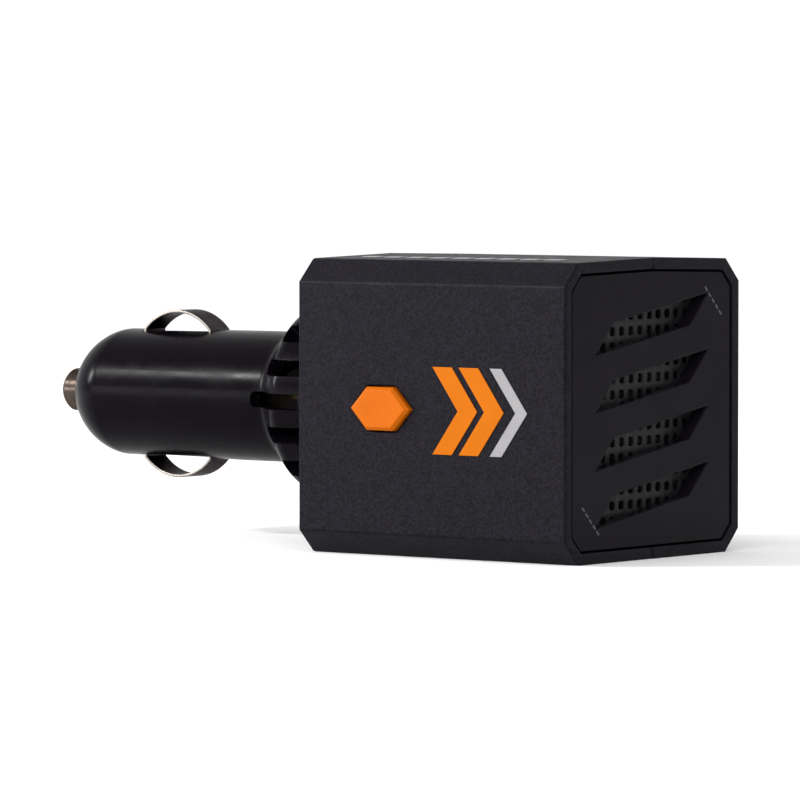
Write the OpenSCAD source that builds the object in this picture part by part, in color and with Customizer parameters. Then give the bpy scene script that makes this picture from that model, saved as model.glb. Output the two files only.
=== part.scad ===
// Plug-in 12 volt unit: an eight-sided box on a standard 12 volt plug, with a push button on its
// near side, a fan behind a vented front panel, and a step-up inverter board inside.
// The origin is on the plug's axis at the shoulder where the plug's wall starts to flare.
// +X points to the front panel, +Z up, and the button is on the -Y side.

/* [Box] */
// Length of the box along X
box_l = 52.2; // [48:0.1:80]
// Width of the box along Y
box_w = 46.5; // [45.5:0.1:64]
// Height of the box along Z
box_h = 46.5; // [45.5:0.1:64]
// Leg of the 45 degree chamfer on the four long edges
chamfer = 3.6; // [1:0.1:4]
// Rise of the top face's ridge
crown = 0.45; // [0:0.05:1]
// Wall of the half shells
wall = 1.8; // [1.4:0.1:2.4]

/* [Plug] */
// Diameter of the plug's rear band, which fills the socket
plug_d = 21.3; // [20.5:0.1:25]
// Length of the rear band
band_l = 15.6; // [12:0.1:24]
// Length of the contact strips' windows
window_l = 14.9; // [12:0.1:18]
// Length of barrel in front of the windows
barrel_front_l = 3.8; // [3.6:0.1:10]
// Wall of the barrel
barrel_wall = 2.3; // [1.8:0.1:2.5]
// Length of the domed nose
nose_l = 10.3; // [9:0.1:14]
// Diameter of the centre contact
tip_d = 7.1; // [6.6:0.1:7.6]
// How far the centre contact stands out of the nose
tip_out = 6; // [4.5:0.1:8]
// Travel of the centre contact
tip_travel = 3; // [1:0.1:3]
// How far the contact strips stand out of the barrel
strip_rise = 3.15; // [2:0.05:4]
// Width of a contact strip
strip_w = 5; // [3:0.1:6]
// Thickness of a contact strip
strip_t = 0.45; // [0.3:0.05:0.6]

/* [Neck] */
// Length of the neck from its shoulder to the box
neck_l = 18.6; // [16:0.1:30]
// Radius of the wide part of the neck
neck_r = 16; // [15:0.1:18]
// Height of an air slot
slot_h = 2.6; // [1.5:0.1:3]
// Height from one air slot to the next
slot_pitch = 5.4; // [4.5:0.1:6]

/* [Front panel] */
// Thickness of the front panel
panel_t = 2.4; // [2:0.1:4]
// Gap between the front panel and the shells
panel_gap = 0.3; // [0.1:0.05:0.6]
// Depth of the front panel's face behind the shells' rim
panel_inset = 0.2; // [0:0.05:0.6]
// Length of a window
vent_l = 25; // [16:0.5:28]
// Height of a window
vent_h = 5; // [3:0.1:6]
// Height from one window to the next
vent_pitch = 8.9; // [7:0.1:9.5]
// Slant of the windows in degrees
vent_slant = 9; // [0:1:10]
// Thickness of the perforated plate
plate_t = 0.8; // [0.5:0.1:1.2]
// Diameter of a hole in the perforated plate
hole_d = 1.55; // [1:0.05:1.8]
// Spacing of the holes
hole_pitch = 2.46; // [2.2:0.02:3.5]

/* [Button] */
// Width of the button between its points
button_w = 11.6; // [9:0.1:14]
// Height of the button
button_h = 6.8; // [5:0.1:9]
// Distance of the button's centre from the box's rear face
button_x = 16.7; // [14:0.1:18]
// How far the button stands out
button_out = 1; // [0.8:0.1:2]
// Travel of the button
button_travel = 0.8; // [0.3:0.1:0.8]
// Gap round the button
button_gap = 0.3; // [0.2:0.05:0.5]

/* [Marks] */
// Length of the side marks
mark_l = 20.6; // [14:0.1:22]
// Height of the side marks
mark_h = 13.6; // [8:0.1:18]
// Distance of the side marks from the box's rear face
mark_x = 26.7; // [26:0.1:28]
// Thickness of a printed mark
mark_t = 0.12; // [0.1:0.02:0.3]

/* [Fan] */
// Side of the fan frame
fan_w = 40; // [38:0.1:40]
// Depth of the fan frame
fan_t = 10; // [10:0.1:15]
// Spacing of the fan's screw holes
fan_hole_pitch = 32; // [30:0.1:32]
// Diameter of the fan's opening
fan_bore = 37.2; // [34:0.1:37.4]
// Number of fan blades
blade_count = 7; // [5:1:9]

/* [Inside] */
// Length of the circuit board
board_l = 31; // [28:0.1:31]
// Height of the circuit board
board_h = 27; // [25:0.1:27]
// Thickness of the circuit board
board_t = 1.6; // [1:0.1:2]
// Length of the glass fuse
fuse_l = 30; // [25:0.1:30]
// Diameter of the glass fuse
fuse_d = 6.35; // [5:0.05:6.4]
// Width of the emitter plate
emitter_w = 22; // [15:0.5:24]
// Height of the emitter plate
emitter_h = 19; // [14:0.5:20]

/* [Hidden] */
$fn = 64;

// Clearances
run_fit = 0.08;  // round parts that slide in each other
free_gap = 0.3;  // parts that move past each other
seat_gap = 0.1;  // parts that are held in each other

// Box
rear_x = neck_l;
front_x = rear_x + box_l;
inner_w = box_w / 2 - wall;
inner_h = box_h / 2 - wall;
roof_slope = atan(crown / (box_w / 2 - chamfer));

// Front stack, from the panel back to the ledge that the fan rests on
panel_x = front_x - panel_inset - panel_t;
plate_x = panel_x - plate_t;
fan_x = plate_x - fan_t;
ledge_t = 1.6;
ledge_x = fan_x - ledge_t;
ledge_w = 2.6;
screw_pocket = 1.6;
vent_offsets = [-1.5, -0.5, 0.5, 1.5];

// Plug
plug_r = plug_d / 2;
band_step = 0.17;
barrel_r = plug_r - band_step;
bore_r = plug_r - barrel_wall;
window_x1 = -band_l - 0.5;
window_x0 = window_x1 - window_l;
window_w = strip_w + 2 * free_gap;
barrel_x = window_x0 - barrel_front_l;
strip_x = (window_x0 + window_x1) / 2;
strip_half = window_l / 2 - 0.35;
strip_foot = 1.5;
strip_z = sqrt(pow(bore_r, 2) - pow(strip_w / 2, 2)) - strip_t - 0.05;
spigot_l = 2;

// Neck
flare_r = 3;
round_r = 4;
flare_angle = 44;
neck_wall = 2.4;
waist_r = neck_r - 1.2;
flange_r = neck_r + 1.5;
flange_t = 1.5;
slot_end_x = rear_x - 6.1;
slot_starts = [6, 1.7, -1.5, 1.7, 6];

// Nose and centre contact
nose_r = barrel_r;
nose_power = 1.77;
nose_end_r = 5.2;
nose_x = barrel_x - nose_l * pow(1 - pow(nose_end_r / nose_r, nose_power), 1 / nose_power);
tip_r = tip_d / 2;
tip_dome_r = 4.1;
nose_hole_r = tip_r + run_fit;
nose_wall = 2.6;
flange_x = nose_x + nose_wall;
tip_flange_r = tip_r + 1;
tip_flange_t = 1;
nose_bore_r = tip_flange_r + free_gap + 0.3;
lip_r = 0.8;

// Fuse, its holder and the spring behind it
fuse_x = flange_x + tip_flange_t;
fuse_end_x = fuse_x + fuse_l;
fuse_r = fuse_d / 2;
fuse_cap_l = 6;
fuse_cap_t = 0.35;
glass_t = 0.5;
spring_l = 8;
spring_wire = 0.6;
spring_r = fuse_r - 0.6;
spring_turns = 5;
holder_r = fuse_r + free_gap + 0.1;
holder_wall = 1;
terminal_t = 0.5;
terminal_x = fuse_end_x + spring_l;
holder_end_x = terminal_x + terminal_t + holder_wall;
holder_x = fuse_end_x + 0.3;
wire_r = 0.8;
wire_z = 6.7;

// Button
button_cx = rear_x + button_x;
button_flat = button_w - button_h * 0.94;
flange_out = 1;
button_flange_t = 1;
skin_y = -box_w / 2;
button_flange_y = skin_y + wall + 0.05;
plunger_y = button_flange_y + button_flange_t;
plunger_r = 1.7;
plunger_l = 3.2;
switch_w = 6;
switch_y = plunger_y + 1.8;
switch_t = 3.2;
board_y = switch_y + switch_t;
board_face_y = board_y + board_t;

// Circuit board
board_x = rear_x + wall + 2.4;
post_r = 2;
board_screw_x = [board_x + 3, board_x + board_l - 3];
board_screw_z = board_h / 2 - 3;

// Housing screws
boss_x = [rear_x + wall + 5.1, ledge_x - 4.3];
boss_right_r = 3.4;
rib_t = 1.2;
boss_left_r = 2.8;
screw_r = 1.25;
screw_head_r = 2.3;
screw_head_t = 1.8;
screw_seat_y = 6;
boss_z = box_h / 2 - chamfer - screw_head_r - 0.7;
screw_l = 14;

// Fan
fan_axis_x = fan_x + fan_t / 2;
hub_r = 9.6;
hub_wall = 1.2;
magnet_t = 1.2;
shaft_r = 1;
shaft_gap = 0.05;
sleeve_r = 2.4;
base_t = 1.5;
blade_gap = 0.4;
fan_screw_r = 1.4;
fan_screw_head_r = 2.5;
fan_screw_head_t = 1.8;

// Emitter
emitter_x = board_x + 6;
emitter_t = 0.8;
emitter_y = inner_w - 11;
arm_t = 1.8;
groove = 0.5;

black_plastic = [0.13, 0.13, 0.14];
gloss_black = [0.06, 0.06, 0.07];
orange = [0.94, 0.5, 0.08];
light_grey = [0.74, 0.74, 0.74];
steel = [0.75, 0.75, 0.76];
brass = [0.8, 0.66, 0.36];

function arc(cx, cy, r, a0, a1, n) =
    [for (i = [0:n]) let (a = a0 + (a1 - a0) * i / n) [cx + r * cos(a), cy + r * sin(a)]];

// Turns a YZ outline into a prism along X
module along_x(x, length) {
    translate([x, 0, 0]) rotate([90, 0, 90]) linear_extrude(length) children();
}

// Turns an XZ outline into a prism along +Y
module along_y(y, length) {
    translate([0, y + length, 0]) rotate([90, 0, 0]) linear_extrude(length) children();
}

// Spins a profile of [radius, x] points round the plug's axis
module spin_x() {
    rotate([0, 90, 0]) rotate_extrude() children();
}

module rod_x(x, length, r) {
    translate([x, 0, 0]) rotate([0, 90, 0]) cylinder(h = length, r = r);
}

module rod_y(y, length, r) {
    translate([0, y, 0]) rotate([-90, 0, 0]) cylinder(h = length, r = r);
}

module ring_x(x, length, outer, inner) {
    difference() {
        rod_x(x, length, outer);
        rod_x(x - 1, length + 2, inner);
    }
}

// A wire with eight sides, swept along a list of points; no stretch runs along Z
module wire(points, r) {
    sides = 8;
    last = len(points) - 1;
    function unit(v) = v / norm(v);
    function heading(i) =
        i == 0 ? unit(points[1] - points[0]) :
        i == last ? unit(points[last] - points[last - 1]) :
        unit(unit(points[i] - points[i - 1]) + unit(points[i + 1] - points[i]));
    rings = [for (i = [0:last], j = [0:sides - 1])
        let (t = heading(i), u = unit(cross(t, [0, 0, 1])), v = cross(u, t), b = 360 * j / sides)
            points[i] + r * (cos(b) * u + sin(b) * v)];
    walls = [for (i = [0:last - 1], j = [0:sides - 1])
        [i * sides + j, i * sides + (j + 1) % sides, (i + 1) * sides + (j + 1) % sides, (i + 1) * sides + j]];
    caps = [[for (j = [sides - 1:-1:0]) j], [for (j = [0:sides - 1]) last * sides + j]];
    polyhedron(rings, concat(walls, caps), convexity = 4);
}

// The box's cross-section, moved inwards by inset
module box_outline(inset = 0, rise = 0) {
    w = box_w / 2 - inset;
    h = box_h / 2 - inset;
    c = max(0.4, chamfer - inset * (2 - sqrt(2)));
    polygon([
        [-w, -h + c], [-w + c, -h], [w - c, -h], [w, -h + c],
        [w, h - c], [w - c, h], [0, h + rise], [-w + c, h], [-w, h - c]
    ]);
}

module at_housing_screws() {
    for (x = boss_x, z = [-boss_z, boss_z]) translate([x, 0, z]) children();
}

module at_fan_holes() {
    for (y = [-1, 1], z = [-1, 1])
        translate([0, y * fan_hole_pitch / 2, z * fan_hole_pitch / 2]) children();
}

module at_board_screws() {
    for (x = board_screw_x, z = [-board_screw_z, board_screw_z]) translate([x, 0, z]) children();
}

module button_outline(grow = 0) {
    w = button_w / 2 + grow * 1.15;
    h = button_h / 2 + grow;
    f = button_flat / 2 + grow * 0.55;
    polygon([[-w, 0], [-f, h], [f, h], [w, 0], [f, -h], [-f, -h]]);
}

// The whole casing before it is split and drilled
module casing() {
    difference() {
        along_x(rear_x, box_l) box_outline(0, crown);
        along_x(rear_x + wall, box_l) box_outline(wall, crown);
        rod_x(rear_x - 1, wall + 2, waist_r + seat_gap);
    }
    difference() {
        along_x(ledge_x, ledge_t) box_outline(wall - 0.2, crown);
        along_x(ledge_x - 1, ledge_t + 2) box_outline(wall + ledge_w);
    }
}

// Ribs that tie the screw bosses to the top and bottom walls, from y0 to y1
module boss_ribs(y0, y1) {
    for (x = boss_x, s = [-1, 1])
        translate([x - rib_t / 2, y0, s > 0 ? boss_z + screw_r + 0.5 : -inner_h - wall / 2])
            cube([rib_t, y1 - y0, inner_h + wall / 2 - boss_z - screw_r - 0.5]);
}

module half(side) {
    intersection() {
        children();
        translate([rear_x - 1, side < 0 ? -box_w : 0, -box_h]) cube([box_l + 2, box_w, 2 * box_h]);
    }
}

module left_shell() {
    color(black_plastic) difference() {
        union() {
            half(-1) casing();
            at_housing_screws() rod_y(skin_y + wall / 2, -skin_y - wall / 2, boss_left_r);
            boss_ribs(-inner_w + chamfer, 0);
            at_board_screws() rod_y(skin_y + wall / 2, board_y - skin_y - wall / 2, post_r);
        }
        at_housing_screws() rod_y(screw_seat_y - screw_l, screw_l, screw_r);
        at_board_screws() rod_y(board_y - 3, 4, 0.9);
        translate([button_cx, 0, 0]) along_y(skin_y - 1, wall + 2) button_outline(button_gap);
    }
}

module right_shell() {
    color(black_plastic) difference() {
        union() {
            half(1) casing();
            at_housing_screws() rod_y(0, inner_w + wall / 2, boss_right_r);
            boss_ribs(0, screw_seat_y);
        }
        at_housing_screws() rod_y(-1, box_w, screw_r + seat_gap);
        at_housing_screws() rod_y(screw_seat_y, box_w, screw_head_r + 0.2);
    }
}

module housing_screws() {
    color(steel) at_housing_screws() difference() {
        union() {
            rod_y(screw_seat_y - screw_l, screw_l, screw_r);
            rod_y(screw_seat_y, screw_head_t, screw_head_r);
        }
        along_y(screw_seat_y + screw_head_t - 1, 2) {
            square([2.6, 0.6], center = true);
            square([0.6, 2.6], center = true);
        }
    }
}

// One slanted window with 45 degree ends, in the YZ plane
module vent_window(z, grow = 0) {
    l = vent_l / 2 + grow;
    h = vent_h / 2 + grow;
    t = tan(vent_slant);
    polygon([
        [-l + vent_h / 2, z + h - t * l], [-l - vent_h / 2, z - h - t * l],
        [l - vent_h / 2, z - h + t * l], [l + vent_h / 2, z + h + t * l]
    ]);
}

module front_panel() {
    color(gloss_black) difference() {
        along_x(panel_x, panel_t) difference() {
            box_outline(wall + panel_gap, crown);
            for (i = vent_offsets) vent_window(i * vent_pitch);
        }
        at_fan_holes() rod_x(panel_x - 1, 1 + screw_pocket, fan_screw_r);
    }
}

function in_window(y, z) =
    abs(y) < vent_l / 2 + 1 &&
    min([for (i = vent_offsets) abs(z - i * vent_pitch - tan(vent_slant) * y)]) < vent_h / 2 + 0.2;

module vent_plate() {
    n = floor((vent_l / 2 + 1) / hole_pitch);
    m = floor((inner_h - 3) / hole_pitch);
    color([0.1, 0.1, 0.11]) difference() {
        along_x(plate_x, plate_t) difference() {
            box_outline(wall + panel_gap, crown);
            for (i = [-n:n], j = [-m:m])
                if (in_window(i * hole_pitch, j * hole_pitch))
                    translate([i * hole_pitch, j * hole_pitch]) circle(d = hole_d, $fn = 24);
        }
        at_fan_holes() rod_x(plate_x - 1, plate_t + 2, fan_screw_r + 0.25);
    }
}

// One chevron of the side marks, pointing to the front; it starts at x and its bar is w long
module chevron(x, w, depth) {
    translate([rear_x + mark_x + x, 0, 0]) along_y(skin_y - mark_t, mark_t) polygon([
        [0, mark_h / 2], [w, mark_h / 2], [w + depth, 0], [w, -mark_h / 2], [0, -mark_h / 2], [depth, 0]
    ]);
}

mark_depth = mark_l * 0.26;
mark_bar = mark_l * 0.2;
mark_thin = mark_l * 0.12;
mark_step = mark_l * 0.27;

module side_marks_orange() {
    color(orange) {
        chevron(0, mark_bar, mark_depth);
        chevron(mark_step, mark_bar, mark_depth);
    }
}

module side_mark_grey() {
    color(light_grey) chevron(2 * mark_step, mark_thin, mark_depth);
}

module top_print() {
    n = 9;
    first = 6;
    step = (box_l - 2 * first) / n;
    color(light_grey)
        translate([rear_x + first, 0, box_h / 2 + crown]) rotate([roof_slope, 0, 0])
            for (i = [0:n - 1])
                translate([i * step, -14.8, 0]) cube([step - 1.2, 2, mark_t]);
}

module button_cap() {
    bevel = 0.5;
    color(orange) translate([button_cx, 0, 0]) {
        along_y(button_flange_y, button_flange_t) button_outline(flange_out);
        hull() {
            along_y(skin_y - button_out + bevel, button_flange_y - skin_y + button_out - bevel)
                button_outline();
            along_y(skin_y - button_out, 0.01) button_outline(-bevel);
        }
    }
}

module button_plunger() {
    color("ivory") translate([button_cx, 0, 0]) rod_y(plunger_y, plunger_l, plunger_r);
}

module slot_cutter(x0) {
    r = 0.9;
    h = slot_h / 2;
    along_y(-neck_r - 1, 2 * neck_r + 2) {
        translate([x0 + r, -h]) square([slot_end_x - x0 - 2 * r, slot_h]);
        translate([x0, -h + r]) square([slot_end_x - x0, slot_h - 2 * r]);
        for (x = [x0 + r, slot_end_x - r], z = [-h + r, h - r]) translate([x, z]) circle(r = r, $fn = 24);
    }
}

module plug_barrel() {
    straight_r = neck_r - round_r * (1 - cos(flare_angle));
    flare_top_r = plug_r + flare_r * (1 - cos(flare_angle));
    run = (straight_r - flare_top_r) / tan(flare_angle);
    round_x = flare_r * sin(flare_angle) + run + round_r * sin(flare_angle);
    inner_start = 1;
    inner_end = round_x;
    color([0.11, 0.11, 0.12]) difference() {
        spin_x() polygon(concat(
            [[bore_r, barrel_x], [barrel_r, barrel_x], [barrel_r, -band_l], [plug_r, -band_l]],
            [for (p = arc(0, plug_r + flare_r, flare_r, -90, -90 + flare_angle, 8)) [p[1], p[0]]],
            [for (p = arc(round_x, neck_r - round_r, round_r, 90 + flare_angle, 90, 6)) [p[1], p[0]]],
            [
                [neck_r, rear_x], [waist_r, rear_x], [waist_r, rear_x + wall + 0.05],
                [flange_r, rear_x + wall + 0.05], [flange_r, rear_x + wall + flange_t],
                [neck_r - neck_wall, rear_x + wall + flange_t], [neck_r - neck_wall, inner_end],
                [bore_r, inner_start]
            ]
        ));
        for (i = [-2:2]) translate([0, 0, i * slot_pitch]) slot_cutter(slot_starts[i + 2]);
        translate([window_x0, -window_w / 2, -plug_d]) cube([window_l, window_w, 2 * plug_d]);
    }
}

module nose_cap() {
    dome = [for (i = [0:14]) let (a = i * 90 / 14)
        [nose_r * pow(cos(a), 2 / nose_power), barrel_x - nose_l * pow(sin(a), 2 / nose_power)]];
    outer = [for (p = dome) if (p[0] > nose_end_r + 0.2) p];
    color([0.11, 0.11, 0.12]) {
        spin_x() polygon(concat(
            outer,
            [
                [nose_end_r, nose_x], [nose_hole_r, nose_x], [nose_hole_r, flange_x], [nose_bore_r, flange_x],
                [nose_bore_r, barrel_x + spigot_l], [bore_r - seat_gap, barrel_x + spigot_l],
                [bore_r - seat_gap, barrel_x]
            ]
        ));
        spin_x() translate([nose_hole_r + lip_r, nose_x + lip_r / 2]) circle(r = lip_r, $fn = 32);
    }
}

module tip_contact() {
    edge = asin(tip_r / tip_dome_r);
    dome = [for (i = [0:10]) let (a = edge * i / 10)
        [tip_dome_r * sin(a), nose_x - tip_out + tip_dome_r * (1 - cos(a))]];
    color(steel) spin_x() polygon(concat(
        dome,
        [
            [tip_r, flange_x], [tip_flange_r, flange_x], [tip_flange_r, flange_x + tip_flange_t],
            [0, flange_x + tip_flange_t]
        ]
    ));
}

// A bowed strip with two feet that stay inside the barrel
module contact_strip() {
    bow_r = (pow(strip_half, 2) + pow(strip_rise, 2)) / (2 * strip_rise);
    bow_z = plug_r + strip_rise - bow_r;
    outer_a = asin(strip_half / bow_r);
    inner_half = strip_half - strip_t;
    inner_a = asin(inner_half / (bow_r - strip_t));
    top = strip_z + strip_t;
    translate([strip_x, 0, 0]) along_y(-strip_w / 2, strip_w) polygon(concat(
        [[-strip_half - strip_foot, top], [-strip_half, top]],
        arc(0, bow_z, bow_r, 90 + outer_a, 90 - outer_a, 24),
        [
            [strip_half, top], [strip_half + strip_foot, top],
            [strip_half + strip_foot, strip_z], [inner_half, strip_z]
        ],
        arc(0, bow_z, bow_r - strip_t, 90 - inner_a, 90 + inner_a, 24),
        [[-inner_half, strip_z], [-strip_half - strip_foot, strip_z]]
    ));
}

module ground_contact_top() {
    color(steel) contact_strip();
}

module ground_contact_bottom() {
    color(steel) mirror([0, 0, 1]) contact_strip();
}

module fuse_cap(x, opening) {
    color(steel) difference() {
        rod_x(x, fuse_cap_l, fuse_r);
        rod_x(x + opening * fuse_cap_t, fuse_cap_l, fuse_r - fuse_cap_t);
    }
}

module fuse_cap_front() {
    fuse_cap(fuse_x, 1);
}

module fuse_cap_rear() {
    fuse_cap(fuse_end_x - fuse_cap_l, -1);
}

module fuse_glass() {
    color([0.8, 0.85, 0.86, 0.5])
        ring_x(fuse_x + fuse_cap_t, fuse_l - 2 * fuse_cap_t, fuse_r - fuse_cap_t, fuse_r - fuse_cap_t - glass_t);
}

module fuse_element() {
    color(steel) rod_x(fuse_x + fuse_cap_t, fuse_l - 2 * fuse_cap_t, 0.2);
}

// A coil with closed round ends, swept along a helix on the X axis
module coil_x(x, length, r, wire_d, turns) {
    sides = 8;
    steps = turns * 16;
    travel = length - wire_d;
    function centre(i) = let (a = 360 * turns * i / steps)
        [x + wire_d / 2 + travel * i / steps, r * cos(a), r * sin(a)];
    points = [for (i = [0:steps], j = [0:sides - 1])
        let (a = 360 * turns * i / steps, b = 360 * j / sides, c = centre(i), q = wire_d / 2)
            [c[0] + q * sin(b), c[1] + q * cos(b) * cos(a), c[2] + q * cos(b) * sin(a)]];
    walls = [for (i = [0:steps - 1], j = [0:sides - 1])
        [i * sides + j, (i + 1) * sides + j, (i + 1) * sides + (j + 1) % sides, i * sides + (j + 1) % sides]];
    caps = [[for (j = [0:sides - 1]) j], [for (j = [sides - 1:-1:0]) steps * sides + j]];
    polyhedron(points, concat(walls, caps), convexity = 10);
}

module tip_spring() {
    color(steel) coil_x(fuse_end_x, spring_l, spring_r, spring_wire, spring_turns);
}

module fuse_terminal() {
    color(brass) {
        rod_x(terminal_x, terminal_t, holder_r - seat_gap);
        translate([terminal_x, -1.5, -0.3]) cube([holder_end_x + 2.5 - terminal_x, 3, 0.6]);
    }
}

module fuse_holder() {
    color("ivory") difference() {
        union() {
            rod_x(holder_x, holder_end_x - holder_x, holder_r + holder_wall);
            rod_x(holder_x + 4, 1.5, bore_r);
        }
        rod_x(holder_x - 1, terminal_x + terminal_t - holder_x + 1, holder_r);
        translate([terminal_x, -1.5, -0.3]) cube([10, 3, 0.6]);
        translate([0, 0, -wire_z]) rod_x(holder_x, 20, wire_r);
    }
}

module ground_bracket() {
    finger_x = window_x1 + strip_foot + free_gap;
    seat_r = holder_r + holder_wall;
    root_x = holder_x + 1.2;
    color(brass) {
        ring_x(root_x, 1.4, seat_r + 0.9, seat_r);
        for (s = [-1, 1]) translate([0, 0, s * (strip_z + strip_t / 2)]) {
            translate([finger_x, -2, -0.25]) cube([root_x + 1.4 - finger_x, 4, 0.5]);
            translate([root_x, -2, -s * 1.1 - 1.2]) cube([1.4, 4, 2.4]);
        }
    }
}

wire_hole_x = board_x + 2.5;

module positive_wire() {
    color("firebrick") wire([
        [holder_end_x + 2.5, 0, 0], [holder_end_x + 4, 0, 0], [7, -2, 2], [13, -6, 4], [wire_hole_x - 3, -9, 4],
        [wire_hole_x, board_face_y + 3, 4], [wire_hole_x, board_face_y, 4]
    ], wire_r);
}

module negative_wire() {
    color("dimgray") wire([
        [holder_x + 2.6, 0, -wire_z], [4, 0, -wire_z], [12, -5, -5], [wire_hole_x - 3, -9, -4],
        [wire_hole_x, board_face_y + 3, -4], [wire_hole_x, board_face_y, -4]
    ], wire_r);
}

module main_board() {
    color("darkgreen") difference() {
        translate([board_x, board_y, -board_h / 2]) cube([board_l, board_t, board_h]);
        at_board_screws() rod_y(board_y - 1, board_t + 2, 1.1);
    }
}

module board_screws() {
    color(steel) at_board_screws() {
        rod_y(board_y - 3, 3 + board_t, 0.9);
        rod_y(board_face_y, 1, 1.7);
    }
}

module push_switch() {
    color([0.2, 0.2, 0.21]) difference() {
        translate([button_cx - switch_w / 2, switch_y, -switch_w / 2]) cube([switch_w, switch_t, switch_w]);
        translate([button_cx, 0, 0]) rod_y(switch_y - 1, switch_t + 0.6, plunger_r + seat_gap);
    }
}

// Places of the board's parts, from the board's rear lower corner
module on_board(x, z) {
    translate([board_x + x, board_face_y, -board_h / 2 + z]) children();
}

core_x = 15.5;
core_l = 11;
core_w = 11;
core_h = 12;
coil_w = 7;

module transformer_core() {
    leg = 2.6;
    window = (core_w - 3 * leg) / 2;
    color([0.25, 0.25, 0.27]) on_board(core_x, board_h / 2) difference() {
        translate([0, 1, -core_w / 2]) cube([core_l, core_h, core_w]);
        for (s = [-1, 1]) translate([-1, 1 + leg, s * (leg + window) / 2 - window / 2 + s * leg * 0.25])
            cube([core_l + 2, core_h - 2 * leg, window]);
    }
}

module transformer_winding() {
    leg = 2.6;
    color([0.93, 0.78, 0.25]) on_board(core_x, board_h / 2) difference() {
        translate([-1.5, 1 + leg, -coil_w / 2]) cube([core_l + 3, core_h - 2 * leg, coil_w]);
        translate([-0.01, 0, -leg]) cube([core_l + 0.02, core_h + 2, 2 * leg]);
    }
}

module capacitor(x, z, d, h) {
    on_board(x, z) difference() {
        rotate([-90, 0, 0]) cylinder(h = h, d = d);
        translate([0, h, 0]) rotate([90, 0, 0]) linear_extrude(0.4, center = true) {
            square([d * 0.7, 0.4], center = true);
            square([0.4, d * 0.7], center = true);
        }
    }
}

module capacitor_large() {
    color([0.12, 0.16, 0.3]) capacitor(9.5, board_h - 6.5, 8, 12);
}

module capacitor_small() {
    color([0.12, 0.16, 0.3]) capacitor(9.5, 8.5, 6.3, 9);
}

module switching_transistor() {
    color([0.16, 0.16, 0.17]) on_board(13, 3.2) translate([0, 1, 0]) cube([10, 9, 3]);
}

module heat_sink() {
    color(light_grey) on_board(9.5, 1) {
        cube([16, 13, 2.2]);
        for (i = [0:4]) translate([i * 3.7, 0, -0.8]) cube([1.2, 13, 1]);
    }
}

module choke_coil() {
    color([0.72, 0.42, 0.2]) on_board(20, board_h - 4) rotate([-90, 0, 0]) difference() {
        cylinder(h = 4.5, r = 3.6);
        translate([0, 0, -1]) cylinder(h = 7, r = 1.4);
    }
}

module control_chip() {
    color([0.14, 0.14, 0.15]) on_board(28.6, 9.5) translate([-2, 0, -2]) cube([4, 1.6, 4]);
}

module fan_frame() {
    corner = 3;
    side = fan_w / 2 - corner;
    color([0.09, 0.09, 0.1]) difference() {
        union() {
            along_x(fan_x, fan_t) difference() {
                union() {
                    square([fan_w, fan_w - 2 * corner], center = true);
                    square([fan_w - 2 * corner, fan_w], center = true);
                    for (y = [-side, side], z = [-side, side]) translate([y, z]) circle(r = corner);
                }
                circle(d = fan_bore);
            }
            rod_x(fan_x, base_t, hub_r);
            for (a = [0:90:270]) rotate([a, 0, 0])
                translate([fan_x, -1, hub_r - 1]) cube([base_t, 2, fan_bore / 2 - hub_r + 1.5]);
            rod_x(fan_x, fan_t * 0.65, sleeve_r);
        }
        rod_x(fan_x + 0.5, fan_t, shaft_r + shaft_gap);
        at_fan_holes() rod_x(fan_x - 1, fan_t + 2, fan_screw_r + 0.25);
    }
}

module fan_stator() {
    outer = hub_r - hub_wall - magnet_t - 0.5;
    color([0.75, 0.45, 0.22]) along_x(fan_x + base_t, fan_t * 0.4) difference() {
        union() {
            circle(r = sleeve_r + 1.4);
            for (a = [0:90:270]) rotate(a) translate([0, -1.2]) square([outer - 0.2, 2.4]);
            for (a = [0:90:270]) rotate(a) intersection() {
                difference() {
                    circle(r = outer);
                    circle(r = outer - 1.2);
                }
                translate([0, -2.6]) square([outer, 5.2]);
            }
        }
        circle(r = sleeve_r);
    }
}

rotor_x0 = fan_x + base_t + 0.5;
rotor_x1 = fan_x + fan_t - 0.6;

module fan_rotor() {
    tip = fan_bore / 2 - blade_gap;
    color([0.09, 0.09, 0.1]) {
        difference() {
            rod_x(rotor_x0, rotor_x1 - rotor_x0, hub_r);
            rod_x(rotor_x0 - 1, rotor_x1 - rotor_x0 + 1 - hub_wall, hub_r - hub_wall);
            rod_x(rotor_x0, fan_t, shaft_r);
        }
        intersection() {
            ring_x(rotor_x0, rotor_x1 - rotor_x0, tip, hub_r - 0.2);
            for (i = [0:blade_count - 1]) rotate([i * 360 / blade_count, 0, 0])
                translate([(rotor_x0 + rotor_x1) / 2, 0, hub_r - 1])
                    rotate([0, 0, 48]) translate([-6, -0.45, 0]) cube([12, 0.9, tip]);
        }
    }
}

module fan_magnet_ring() {
    r = hub_r - hub_wall;
    color([0.2, 0.2, 0.2]) ring_x(rotor_x0 + 0.3, rotor_x1 - rotor_x0 - hub_wall - 0.8, r, r - magnet_t);
}

module fan_shaft() {
    color(steel) rod_x(fan_x + 0.8, rotor_x1 - fan_x - 0.8, shaft_r);
}

module fan_screws() {
    color(steel) at_fan_holes() {
        rod_x(fan_x - fan_screw_head_t, fan_screw_head_t, fan_screw_head_r);
        rod_x(fan_x, panel_x + screw_pocket - fan_x, fan_screw_r);
    }
}

module fan_lead() {
    end_x = board_x + board_l - 1.5;
    color("firebrick") for (z = [-0.6, 0.6])
        wire([
            [fan_x, -12, z], [fan_x - 1, -12, z], [fan_x - 2, board_face_y + 2, z], [end_x, board_face_y + 2, z],
            [end_x, board_face_y, z]
        ], 0.5);
}

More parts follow.
